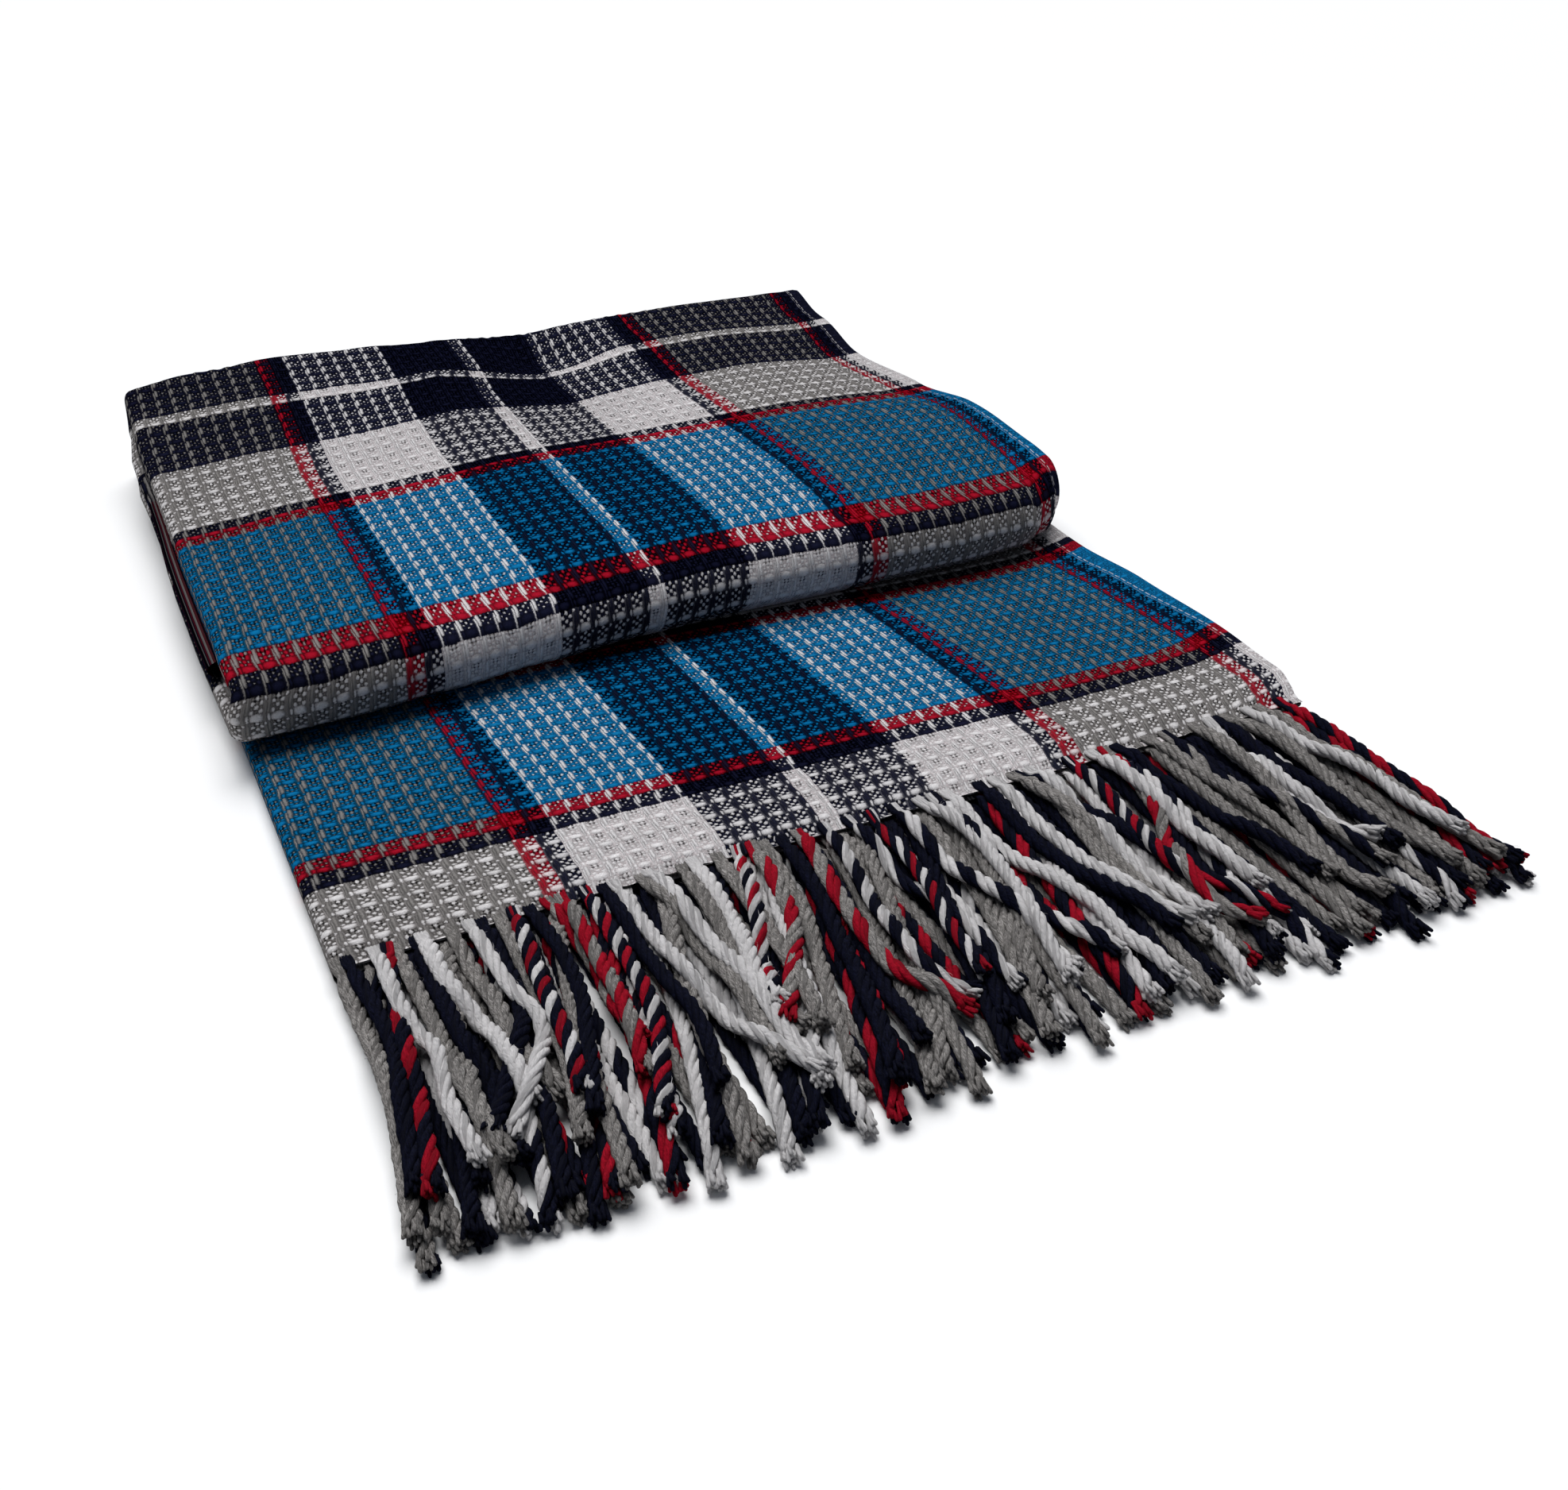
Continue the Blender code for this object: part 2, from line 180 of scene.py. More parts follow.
# Soft light from above and a little behind
SURROUND_STRENGTH = 0.11
SURROUND_COLOUR = (0.86, 0.96, 1.14, 1.0)
OVERHEAD_STRENGTH = 3.45
OVERHEAD_SPREAD = 50.0
OVERHEAD_FROM = (0.05, 0.42, 1.0)
FLOOR_HALF = 4.0
FLOOR_COLOUR = (0.92, 0.92, 0.92, 1.0)


def smooth(value):
    """Smooth step of values that are held between 0 and 1."""
    value = np.clip(value, 0.0, 1.0)
    return value * value * (3.0 - 2.0 * value)


def column(table, index):
    return np.array([row[index] for row in table], float)


def blend_table(keys, values, at):
    """Smoothly read values between the rows of a table. Each row may hold an array."""
    at = np.asarray(at, float)
    row = np.clip(np.searchsorted(keys, at, side="right") - 1, 0, len(keys) - 2)
    share = smooth((at - keys[row]) / (keys[row + 1] - keys[row]))
    values = np.asarray(values, float)
    if values.ndim == 1:
        return values[row] + (values[row + 1] - values[row]) * share
    start = np.take_along_axis(values, row[None], axis=0)[0]
    end = np.take_along_axis(values, row[None] + 1, axis=0)[0]
    return start + (end - start) * share


def read_table(table, at, index=1):
    """Smoothly read one column of a table whose first column holds the keys."""
    return blend_table(column(table, 0), column(table, index), at)


def bump(x, y, centre_x, centre_y):
    across = (x - centre_x) / CREASE_SPREAD_X
    along = (y - centre_y) / CREASE_SPREAD_Y
    return np.exp(-across * across - along * along)


def stack_height(x, y):
    """Height of the top of the stack above the surface it lies on."""
    rows_y = np.array(STACK_ROWS_Y, float)
    by_column = np.array([blend_table(rows_y, heights, y) for _, heights in STACK_HEIGHT])
    height = blend_table(column(STACK_HEIGHT, 0), by_column, x)
    height = height - TROUGH_DEPTH * bump(x, y, TROUGH_X, TROUGH_Y)
    return height + RIDGE_HEIGHT * bump(x, y, RIDGE_X, RIDGE_Y)


def height_scale(x, y):
    share = smooth((y - RISE_START) / (RISE_END - RISE_START))
    return 1.0 + share * (stack_height(x, y) / FLAT_HEIGHT - 1.0)


def settle(x, y, z):
    """Move points of the level, straight stack to where the soft one lies."""
    share = np.clip(x / WIDTH, 0.0, None)
    level = z / LAYER_STEP
    low = read_table(LOW_EDGE, y)
    hemmed = low + (read_table(HIGH_EDGE, y) - low) * smooth(level - 0.5)
    middle = read_table(FOLDED_EDGE, y)
    top = read_table(FOLDED_EDGE, y, 2)
    folded = middle * smooth(level - 0.5) + (top - middle) * smooth(level - 2.5)
    fade = np.clip(1.0 - share, 0.0, 1.0) ** FOLDED_SHIFT_FADE
    moved_x = x + share * share * hemmed + fade * folded
    return np.stack([moved_x, y, z * height_scale(x, y)], axis=-1)


def root_y_at(x):
    return np.interp(x, column(ROOT_LINE, 0), column(ROOT_LINE, 1))


def fold_lines(x):
    front = read_table(FOLD_LINES, x) + LAYER_STEP + LAYER / 2
    rear = read_table(FOLD_LINES, x, 2) - LAYER_STEP / 2 - LAYER / 2
    return front, rear


def layer_point(place, x, offset):
    """Point of the level stack at a place along the cloth and an offset from the layer's middle.

    The whole part of place counts the stretches: lowest layer, rear fold, second
    layer, big front fold, top layer, inner rear fold, tucked-in layer.
    """
    front, rear = fold_lines(x)
    tucked = front - LAYER_STEP - LAYER / 2 + TUCKED_END_SETBACK
    stretch = np.clip(np.floor(place), 0, 6).astype(int)
    share = place - stretch
    small = LAYER_STEP / 2
    middle_0 = LAYER / 2
    # Columns: start y, end y, height, direction of the normal, of each level stretch
    runs = {
        0: (root_y_at(x), rear, middle_0, 1.0),
        2: (rear, front, middle_0 + LAYER_STEP, -1.0),
        4: (front, rear, middle_0 + 3 * LAYER_STEP, 1.0),
        6: (rear, tucked, middle_0 + 2 * LAYER_STEP, -1.0),
    }
    # Columns: centre y, centre height, radius, start and end angle, side of the normal
    arcs = {
        1: (rear, middle_0 + small, small, -90.0, 90.0, -1.0),
        3: (front, middle_0 + 2 * LAYER_STEP, LAYER_STEP, 270.0, 90.0, 1.0),
        5: (rear, middle_0 + 2.5 * LAYER_STEP, small, 90.0, -90.0, 1.0),
    }
    y = np.zeros_like(share)
    z = np.zeros_like(share)
    for number, (start, end, height, side) in runs.items():
        here = stretch == number
        y = np.where(here, start + (end - start) * share, y)
        z = np.where(here, height + side * offset, z)
    for number, (centre_y, centre_z, radius, start, end, side) in arcs.items():
        here = stretch == number
        angle = np.radians(start + (end - start) * share)
        reach = radius + side * offset
        y = np.where(here, centre_y + reach * np.cos(angle), y)
        z = np.where(here, centre_z + reach * np.sin(angle), z)
    return y, z


def rows_along(x):
    """Place along the cloth and cell count of every row of the sheet, for each x across."""
    x = x[:, None]
    root = root_y_at(x)
    _, rear = fold_lines(x)
    low_cells = np.arange(0.0, LOW_CELLS_SHOWN + 0.01, 1.0 / SAMPLES_PER_CELL)
    low_y = low_cells * CELL_ALONG + root * np.clip(1.0 - low_cells / 2.0, 0.0, 1.0)
    low_place = (low_y - root) / (rear - root)

    dense = np.linspace(2.0, LAST_PLACE, LENGTH_SAMPLES)[None, :] + 0.0 * x
    wide = x + 0.0 * dense
    y, z = layer_point(dense, wide, TOP_FACE)
    points = settle(wide, y, z)
    step = np.linalg.norm(np.diff(points, axis=1), axis=-1)
    length = np.concatenate([np.zeros_like(x), np.cumsum(step, axis=1)], axis=1)
    high_cells = np.arange(FIRST_HIGH_CELL, LAST_HIGH_CELL + 0.01, 1.0 / SAMPLES_PER_CELL)
    high_place = []
    for places, lengths, line in zip(dense, length, points):
        upper = (places > 3.5) & (places < 5.0)
        known = np.interp(FOLD_CELL_Y, line[upper, 1], lengths[upper])
        cells = FOLD_CELL + (lengths - known) / CELL_ALONG
        high_place.append(np.interp(high_cells, cells, places))
    high_place = np.array(high_place)

    low_end, high_start, high_end = low_place[:, -1:], high_place[:, :1], high_place[:, -1:]
    to_rear = low_end + (1.0 - low_end) * np.arange(1, REAR_STEPS)[None, :] / REAR_STEPS
    rear_fold = 1.0 + np.arange(0, REAR_STEPS + 1)[None, :] / REAR_STEPS + 0.0 * x
    second = 2.0 + (high_start - 2.0) * np.arange(1, SECOND_STEPS)[None, :] / SECOND_STEPS
    tucked = high_end + (LAST_PLACE - high_end) * np.arange(1, TUCKED_STEPS + 1)[None, :] / TUCKED_STEPS
    hidden = np.concatenate([to_rear, rear_fold, second], axis=1)
    place = np.concatenate([low_place, hidden, high_place, tucked], axis=1)

    hidden_share = np.arange(1, hidden.shape[1] + 1) / (hidden.shape[1] + 1)
    hidden_cells = LOW_CELLS_SHOWN + (FIRST_HIGH_CELL - LOW_CELLS_SHOWN) * hidden_share
    tucked_cells = LAST_HIGH_CELL + TUCKED_CELL_STEP * np.arange(1, TUCKED_STEPS + 1)
    cells = np.concatenate([low_cells, hidden_cells, high_cells, tucked_cells])[None, :] + 0.0 * x
    cells[:, :low_cells.size] = low_y / CELL_ALONG
    return place, cells


def path_across():
    """Columns of the sheet from hem to hem: x, height in the layer, cell count and relief."""
    path = []

    def add(x, height, relief=0.0, cell=None):
        path.append((x, height, cell, relief))

    def add_arc(centre_x, half_width, low, high, angles, relief=0.0):
        """Round edge between two heights, at angles in degrees from the right."""
        for turn in np.radians(angles):
            up = (low + high) / 2 + (high - low) / 2 * math.sin(turn)
            add(centre_x + half_width * math.cos(turn), up, relief)

    coarse = np.arange(COARSE_START, WIDTH - 8.0, COARSE_STEP)
    turned = TOP_FACE - 2 * UPPER_HEM_RADIUS
    for x in (WIDTH - HEM_TURN, WIDTH - 4.0, WIDTH - 1.2):
        add(x, turned)
    add_arc(WIDTH - 1.0, UPPER_HEM_RADIUS, turned, TOP_FACE, (-60, -30, 0, 30, 60))
    cell = 51.0
    while cell > 0.7:
        add(cell * CELL_ACROSS, TOP_FACE, 1.0, cell)
        cell -= 1.0 / SAMPLES_PER_CELL
    around = range(105, 256, 15)
    add_arc(FOLDED_EDGE_ROUND, FOLDED_EDGE_ROUND, BOTTOM_FACE, TOP_FACE, around, FOLDED_EDGE_RELIEF)
    for x in coarse:
        add(x, BOTTOM_FACE)
    half = (THIRD_FACE - BOTTOM_FACE) / 2
    add_arc(WIDTH - MIDDLE_FOLD_INSET, half, BOTTOM_FACE, THIRD_FACE, np.linspace(-90, 90, 9))
    for x in coarse[::-1]:
        add(x, THIRD_FACE)
    half = (SECOND_FACE - THIRD_FACE) / 2
    add_arc(INNER_FOLD_X, half, THIRD_FACE, SECOND_FACE, np.linspace(270, 90, 5))
    for x in coarse:
        add(x, SECOND_FACE)
    turned = SECOND_FACE - 2 * LOWER_HEM_RADIUS
    add_arc(WIDTH - 1.6, LOWER_HEM_RADIUS, turned, SECOND_FACE, (80, 45, 15, -15, -45, -80))
    for x in (WIDTH - 5.0, WIDTH - HEM_TURN):
        add(x, turned)

    x, height, relief = (column(path, index) for index in (0, 1, 3))
    walked = np.concatenate([[0.0], np.cumsum(np.hypot(np.diff(x), np.diff(height)))]) / CELL_ACROSS
    counted = [index for index, row in enumerate(path) if row[2] is not None]
    first, last = counted[0], counted[-1]
    cells = path[first][2] + walked[first] - walked
    cells[first:last + 1] = [row[2] for row in path[first:last + 1]]
    cells[last + 1:] = path[last][2] - (walked[last + 1:] - walked[last])
    return x, height, cells, relief


def table_at(table, across):
    """Numbers of a table's rows at the cells across, in step between the table's own."""
    return np.array([np.interp(across, column(table, 0), places) for places in column(table, 1).T]).T


def weave_places(cell_across, cell_along):
    """Columns and rows of waffles at each point, with the stripes lying as unevenly as on the real cloth."""
    low_count = int(np.argmax(cell_along[0] >= LOW_CELLS_SHOWN - 0.001)) + 1
    high_start = int(np.argmax(cell_along[0] >= FIRST_HIGH_CELL - 0.001))
    rows = np.zeros_like(cell_along)
    low_at = table_at(LOW_ROWS_AT, cell_across[:, 0])
    high_at = table_at(HIGH_ROWS_AT, cell_across[:, 0])
    hidden = np.linspace(0.0, 1.0, high_start - low_count + 2)[1:-1]
    for number, along in enumerate(cell_along):
        rows[number, :low_count] = np.interp(along[:low_count], low_at[number], LOW_ROWS)
        rows[number, high_start:] = np.interp(along[high_start:], high_at[number], HIGH_ROWS) + ROWS_TO_TOP
        start, end = rows[number, low_count - 1], rows[number, high_start]
        rows[number, low_count:high_start] = start + (end - start) * hidden
    drift_keys = column(DRIFTS, 0)
    by_row = np.array([np.interp(cell_across[:, 0], DRIFT_AT, drifts) for _, drifts in DRIFTS])
    drift = np.array([np.interp(along, drift_keys, drifts) for along, drifts in zip(cell_along, by_row.T)])
    return cell_across - drift, rows


def waffle(columns, rows):
    """Relief of the waffle, from -1 in the hollows to 1 on the long floats round them."""
    ridge_across = 0.5 + 0.5 * np.cos(2 * np.pi * (columns - RIDGE_SHIFT_ACROSS))
    ridge_along = 0.5 + 0.5 * np.cos(2 * np.pi * (rows - RIDGE_SHIFT_ALONG))
    return 2.0 * np.maximum(ACROSS_RIDGE * ridge_across, ridge_along) - 1.0


def to_frame(points):
    """Metres in the frame from millimetres in the part's own places."""
    moved = np.asarray(points, float) + (ORIGIN_X, ORIGIN_Y, 0.0)
    return moved / 1000.0


def link_object(name, data):
    item = bpy.data.objects.new(name, data)
    bpy.context.scene.collection.objects.link(item)
    return item


def mesh_object(name, points, faces, attribute, values, materials, face_materials=None):
    data = bpy.data.meshes.new(name)
    data.from_pydata(to_frame(points).tolist(), [], faces)
    layer = data.attributes.new(attribute, "FLOAT_VECTOR", "POINT")
    layer.data.foreach_set("vector", np.asarray(values, np.float32).ravel())
    for mat in materials:
        data.materials.append(mat)
    if face_materials is not None:
        data.polygons.foreach_set("material_index", np.asarray(face_materials, np.int32))
    data.shade_smooth()
    data.update()
    item = link_object(name, data)
    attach(item, "root")
    return item


def soft_waves(x, y):
    """Slight unevenness of the soft cloth's surface."""
    wave = np.sin(x / 41.0 + 1.3 * np.sin(y / 57.0)) * np.sin(y / 37.0 + 0.8 * np.sin(x / 63.0))
    return 0.35 * wave + 0.2 * np.sin(x / 17.0 + y / 29.0)


def folded_sheet(mat):
    across_x, across_height, across_cell, across_relief = path_across()
    place, along_cell = rows_along(across_x)
    x = across_x[:, None] + 0.0 * place
    weave_x, weave_y = weave_places(across_cell[:, None] + 0.0 * place, along_cell)
    offset = across_height[:, None] + RELIEF * across_relief[:, None] * waffle(weave_x, weave_y)
    offset = offset + 0.5 * across_relief[:, None] * soft_waves(x, along_cell * CELL_ALONG)
    y, z = layer_point(place, x, offset)
    upper_ply = smooth((across_height[:, None] - 2.0) / 2.5)
    z = z - END_DIP * upper_ply * np.clip(1.0 - along_cell / END_DIP_CELLS, 0.0, 1.0) ** 2
    points = settle(x, y, z)
    points[..., 2] = np.maximum(points[..., 2], LOWEST_Z)
    columns, rows = place.shape
    index = np.arange(columns * rows).reshape(columns, rows)
    quads = np.stack([index[:-1, :-1], index[:-1, 1:], index[1:, 1:], index[1:, :-1]], axis=-1)
    weave = np.stack([weave_x, weave_y, 0.0 * weave_x], axis=-1).reshape(-1, 3)
    faces = quads.reshape(-1, 4).tolist()
    return mesh_object("plaid_cloth", points.reshape(-1, 3), faces, "weave", weave, [mat])


# Colours of the yarns, linear
WHITE = (0.72, 0.70, 0.703)
GREY = (0.24, 0.227, 0.218)
YARN_GREY = (0.27, 0.255, 0.245)
NAVY = (0.0075, 0.0085, 0.024)
YARN_NAVY = (0.0048, 0.0056, 0.015)
RED = (0.36, 0.006, 0.020)
BLUE = (0.004, 0.167, 0.39)

# Warp stripes: cells from the start of the repeat, colour
WARP_REPEAT = 39.0
WARP_START = 2.0
WARP_STRIPES = (
    (0, GREY), (11, RED), (12, NAVY), (13, WHITE), (19.4, NAVY), (24.4, WHITE), (25.4, NAVY),
    (30.6, WHITE), (37, NAVY), (38, RED),
)
# Weft stripes: rows of waffles from the start of the repeat, colour
WEFT_REPEAT = 41.0
WEFT_STRIPES = (
    (0, WHITE), (6, NAVY), (7, RED), (8, BLUE), (19.4, RED), (20.2, NAVY), (21, WHITE),
    (27, NAVY), (32, WHITE), (33, NAVY),
)
# Chart of one waffle, first pick first: x where the warp end lies on top. The first
# three ends make the pad, whose first pick is one long float of the weft. The last two
# ends float over four picks each, one pick apart, and make the column beside the pad.
CHART = (
    "...x.",
    ".x.xx",
    "x.xxx",
    ".x.xx",
    "x.x.x",
)
YARNS = 5
PAD_ENDS = 3
COLUMN_START = 0.6
LONG_PICK = 0.36
STITCH_CELL = 50.3
# Painted shade between yarns: how strongly painted bounce light fills pale yarn in again, and the most it
# fills
PAINTED_BOUNCE = 1.3
MOST_PAINTED_FILL = (0.74, 0.74, 0.74)
FUZZ_GAMMA = 0.72
# Unevenness of the weave in cells: slow drift of the yarns, and fuzz that blurs their edges
SLOW_DRIFT = 0.09
FUZZ, FUZZ_SCALE = 0.1, 11.0
# The column's two floats: shift to each other, half width and half length, in yarns
FLOAT_SHIFTS = (0.14, -0.12)
FLOAT_HALF_WIDTHS = (0.32, 0.53)
FLOAT_HALF_LENGTHS = (2.3, 2.5)
# Yarns on top, in yarns: half width and half length, then how much of that each kind fills
HALF_WIDTH, HALF_LENGTH = 0.48, 0.56
FULL_OVAL, SPECK_OVAL = 1.05, 0.72
LOW_SPECK_LESS, PASSING_LESS = 0.16, 0.22
WAFFLE_SPREAD, SPECK_SPREAD = 0.16, 0.5
# Holes below the long float, painted dark as shade: middle between ends and picks, half size, light left in
# them
HOLE_END, HOLE_PICK = 1.5, 4.45
HOLE_WIDTH, HOLE_LENGTH = 0.30, 0.34
HOLE_PAINTED_LIGHT = 0.12
CLOTH_BUMP, YARN_BUMP = 0.0006, 0.0007


class Graph:
    """Short calls that add and link the nodes of one material."""

    def __init__(self, name):
        self.material = bpy.data.materials.new(name)
        self.material.use_nodes = True
        self.tree = self.material.node_tree
        self.shader = self.tree.nodes["Principled BSDF"]

    def put(self, socket, value):
        """Link a socket to another, or set its number, or its opaque colour."""
        if isinstance(value, bpy.types.NodeSocket):
            self.tree.links.new(value, socket)
        elif socket.type == "RGBA":
            socket.default_value = (*value, 1.0)
        else:
            socket.default_value = value

    def node(self, kind, settings, inputs, output=0):
        """One output of a new node with its settings and inputs, which go by name or number."""
        node = self.tree.nodes.new("ShaderNode" + kind)
        for name, value in settings.items():
            setattr(node, name, value)
        for name, value in inputs.items():
            self.put(node.inputs[name], value)
        return node.outputs[output]

    def calc(self, operation, *values):
        return self.node("Math", {"operation": operation}, dict(enumerate(values)))

    def add(self, one, other):
        return self.calc("ADD", one, other)

    def minus(self, one, other):
        return self.calc("SUBTRACT", one, other)

    def times(self, one, other):
        return self.calc("MULTIPLY", one, other)

    def over(self, one, other):
        return self.calc("DIVIDE", one, other)

    def below(self, one, other):
        return self.calc("LESS_THAN", one, other)

    def whole(self, value):
        return self.calc("FLOOR", value)

    def mix(self, share, start, end):
        """Colour between two colours."""
        return self.node("Mix", {"data_type": "RGBA"}, {"Factor": share, "A": start, "B": end}, "Result")

    def between(self, share, start, end):
        """Number between two numbers."""
        return self.node("Mix", {"data_type": "FLOAT"}, {"Factor": share, "A": start, "B": end}, "Result")

    def remap(self, value, low, high, new_low, new_high):
        names = ("Value", "From Min", "From Max", "To Min", "To Max")
        return self.node("MapRange", {}, dict(zip(names, (value, low, high, new_low, new_high))))

    def spread(self, value, amount, low=0.0, high=1.0):
        """Factor round 1 that varies by an amount, from a number between low and high."""
        return self.remap(value, low, high, 1.0 - amount, 1.0 + amount)

    def vector(self, operation, one, other):
        return self.node("VectorMath", {"operation": operation}, {0: one, 1: other})

    def scaled(self, colour, amount):
        """Colour times a number."""
        return self.node("VectorMath", {"operation": "SCALE"}, {0: colour, "Scale": amount})

    def shared(self, one, other):
        """Colour of fuzz where two yarns meet: both take their part of the light."""
        return self.node("Gamma", {}, {"Color": self.vector("MULTIPLY", one, other), "Gamma": FUZZ_GAMMA})

    def painted_gap_shade(self, colour, painted_lit_share):
        """Painted shade of yarn between other yarns: colour times its lit share, with painted bounce light
        that fills pale yarn in again.
        """
        filled = self.scaled(colour, self.times(self.minus(1.0, painted_lit_share), PAINTED_BOUNCE))
        held = self.vector("MINIMUM", filled, MOST_PAINTED_FILL)
        left = self.vector("SUBTRACT", (1.0, 1.0, 1.0), held)
        return self.vector("DIVIDE", self.scaled(colour, painted_lit_share), left)

    def attribute(self, name):
        """The three numbers of a mesh attribute."""
        split = self.tree.nodes.new("ShaderNodeSeparateXYZ")
        self.put(split.inputs[0], self.node("Attribute", {"attribute_name": name}, {}, "Vector"))
        return tuple(split.outputs)

    def join(self, x, y, z=0.0):
        return self.node("CombineXYZ", {}, {0: x, 1: y, 2: z})

    def noise(self, vector, scale, detail=2.0, roughness=0.6):
        inputs = {"Vector": vector, "Scale": scale, "Detail": detail, "Roughness": roughness}
        return self.node("TexNoise", {}, inputs, "Fac")

    def random(self, vector):
        return self.node("TexWhiteNoise", {}, {"Vector": vector}, "Value")

    def steps(self, value, stops):
        """Colour that changes in steps: (place, colour) in order, from place 0 up to 1."""
        node = self.tree.nodes.new("ShaderNodeValToRGB")
        ramp = node.color_ramp
        ramp.interpolation = "CONSTANT"
        while len(ramp.elements) > 1:
            ramp.elements.remove(ramp.elements[-1])
        ramp.elements[0].color = (*stops[0][1], 1.0)
        for place, colour in stops[1:]:
            ramp.elements.new(place).color = (*colour, 1.0)
        self.put(node.inputs["Fac"], value)
        return node.outputs["Color"]

    def raised(self, height, distance):
        inputs = {"Strength": 1.0, "Distance": distance, "Height": height}
        self.put(self.shader.inputs["Normal"], self.node("Bump", {}, inputs))


def stripe_stops(stripes, repeat):
    """Stops of a stripe pattern, each set just before its first yarn."""
    early = 0.4 / YARNS
    return [(max(0.0, (cell - early) / repeat), colour) for cell, colour in stripes]


def soft_finish(graph, sheen):
    values = {"Roughness": 0.92, "Specular IOR Level": 0.0, "Sheen Weight": sheen, "Sheen Roughness": 0.55}
    for name, value in values.items():
        graph.shader.inputs[name].default_value = value


def cloth_material():
    """Waffle-woven plaid, charted yarn by yarn from the sheet's own cell counts."""
    graph = Graph("waffle_plaid")
    add, minus, times, over = graph.add, graph.minus, graph.times, graph.over
    below, whole, between, calc = graph.below, graph.whole, graph.between, graph.calc
    join, noise, random, remap = graph.join, graph.noise, graph.random, graph.remap

    def off(place, middle, half):
        """Square of how far a place lies from a middle, in half sizes."""
        away = over(minus(place, middle), half)
        return times(away, away)

    cell_u, cell_v, _ = graph.attribute("weave")

    # Unevenness of the weave, then the fuzz that blurs each yarn's edge
    drift = remap(noise(join(cell_u, cell_v), 0.9, 1.0), 0.0, 1.0, -SLOW_DRIFT, SLOW_DRIFT)
    fuzz_u = noise(join(cell_u, cell_v), FUZZ_SCALE, 3.0, 0.8)
    fuzz_v = noise(join(cell_v, cell_u, 7.0), FUZZ_SCALE, 3.0, 0.8)
    u = add(add(cell_u, drift), remap(fuzz_u, 0.0, 1.0, -FUZZ, FUZZ))
    v = add(add(cell_v, drift), remap(fuzz_v, 0.0, 1.0, -FUZZ, FUZZ))

    # Places in the waffle: ends from 0 to 5 across, picks from 0 to 5 along
    columns = add(u, COLUMN_START)
    end = times(calc("FRACT", columns), YARNS)
    along_waffle = calc("FRACT", v)
    long_part = calc("MINIMUM", over(along_waffle, LONG_PICK), 1.0)
    other_part = calc("MAXIMUM", minus(along_waffle, LONG_PICK), 0.0)
    pick = add(long_part, times(other_part, (YARNS - 1.001) / (1.0 - LONG_PICK)))
    end_index = whole(end)
    pick_index = whole(pick)
    end_number = add(times(whole(columns), YARNS), end_index)
    pick_number = add(times(whole(v), YARNS), pick_index)

    # Each yarn has one colour, read at its middle
    end_cell = add(over(add(end_number, 0.5), YARNS), WARP_START - COLUMN_START)
    pick_cell = over(add(pick_number, 0.5), YARNS)
    warp_place = calc("FRACT", over(end_cell, WARP_REPEAT))
    weft_place = calc("FRACT", over(pick_cell, WEFT_REPEAT))
    warp = graph.steps(warp_place, stripe_stops(WARP_STRIPES, WARP_REPEAT))
    weft = graph.steps(weft_place, stripe_stops(WEFT_STRIPES, WEFT_REPEAT))

    # The chart's row of this pick as one number, and its bit for this end
    rows = []
    for number, row in enumerate(CHART):
        value = sum(2 ** place for place, mark in enumerate(row) if mark == "x") / 32.0
        rows.append((number / YARNS, (value, value, value)))
    in_rows = over(add(pick_index, 0.5), YARNS)
    row_value = times(graph.steps(in_rows, rows), 32.0)
    shifted = over(add(row_value, 0.02), calc("POWER", 2.0, end_index))
    charted = calc("MODULO", whole(shifted), 2.0)
    before_hem = below(u, HEM_CELL + 0.1)
    warp_on_top = times(charted, before_hem)

    # Ovals of the yarns on top: middle and half size of the float that this place belongs to
    in_pad = below(end_index, PAD_ENDS - 0.5)
    in_column = minus(1.0, in_pad)
    in_dash = times(in_pad, below(pick_index, 0.5))
    in_float = times(in_column, charted)
    second_end = calc("GREATER_THAN", end_index, PAD_ENDS + 0.5)
    to_partner = times(in_float, between(second_end, *FLOAT_SHIFTS))
    middle_u = between(in_dash, add(add(end_index, 0.5), to_partner), PAD_ENDS / 2)
    column_half = between(in_float, HALF_WIDTH, between(second_end, *FLOAT_HALF_WIDTHS))
    half_u = between(in_dash, column_half, PAD_ENDS / 2 + 0.15)
    middle_v = between(in_float, add(pick_index, 0.5), add(2.0, second_end))
    half_v = between(in_float, HALF_LENGTH, between(second_end, *FLOAT_HALF_LENGTHS))
    passing = times(in_column, minus(1.0, charted))
    speck = times(in_pad, charted)
    low_speck = times(speck, below(pick_index, 2.5))
    shrink = between(speck, FULL_OVAL, SPECK_OVAL)
    shrink = minus(shrink, times(low_speck, LOW_SPECK_LESS))
    waffle_own = random(join(whole(columns), whole(v), 5.0))
    speck_own = random(join(end_number, pick_number, 3.0))
    own = between(speck, waffle_own, speck_own)
    own_spread = between(speck, WAFFLE_SPREAD, SPECK_SPREAD)
    shrink = times(shrink, add(1.0, times(minus(own, 0.5), own_spread)))
    shrink = times(shrink, minus(1.0, times(passing, PASSING_LESS)))
    away_u = off(end, middle_u, times(half_u, shrink))
    away = add(away_u, off(pick, middle_v, times(half_v, shrink)))
    shown = remap(away, 0.35, 1.35, add(0.82, times(in_float, 0.1)), 0.0)
    crown = calc("MAXIMUM", minus(1.0, away), 0.0)

    # Small holes below the long float, where shade is painted dark and the bump dips
    hole_u = off(calc("ABSOLUTE", minus(end, HOLE_END)), 0.5, HOLE_WIDTH)
    hole_v = off(calc("ABSOLUTE", minus(pick, HOLE_PICK)), 0.45, HOLE_LENGTH)
    hole = times(remap(add(hole_u, hole_v), 0.2, 1.3, 1.0, 0.0), before_hem)

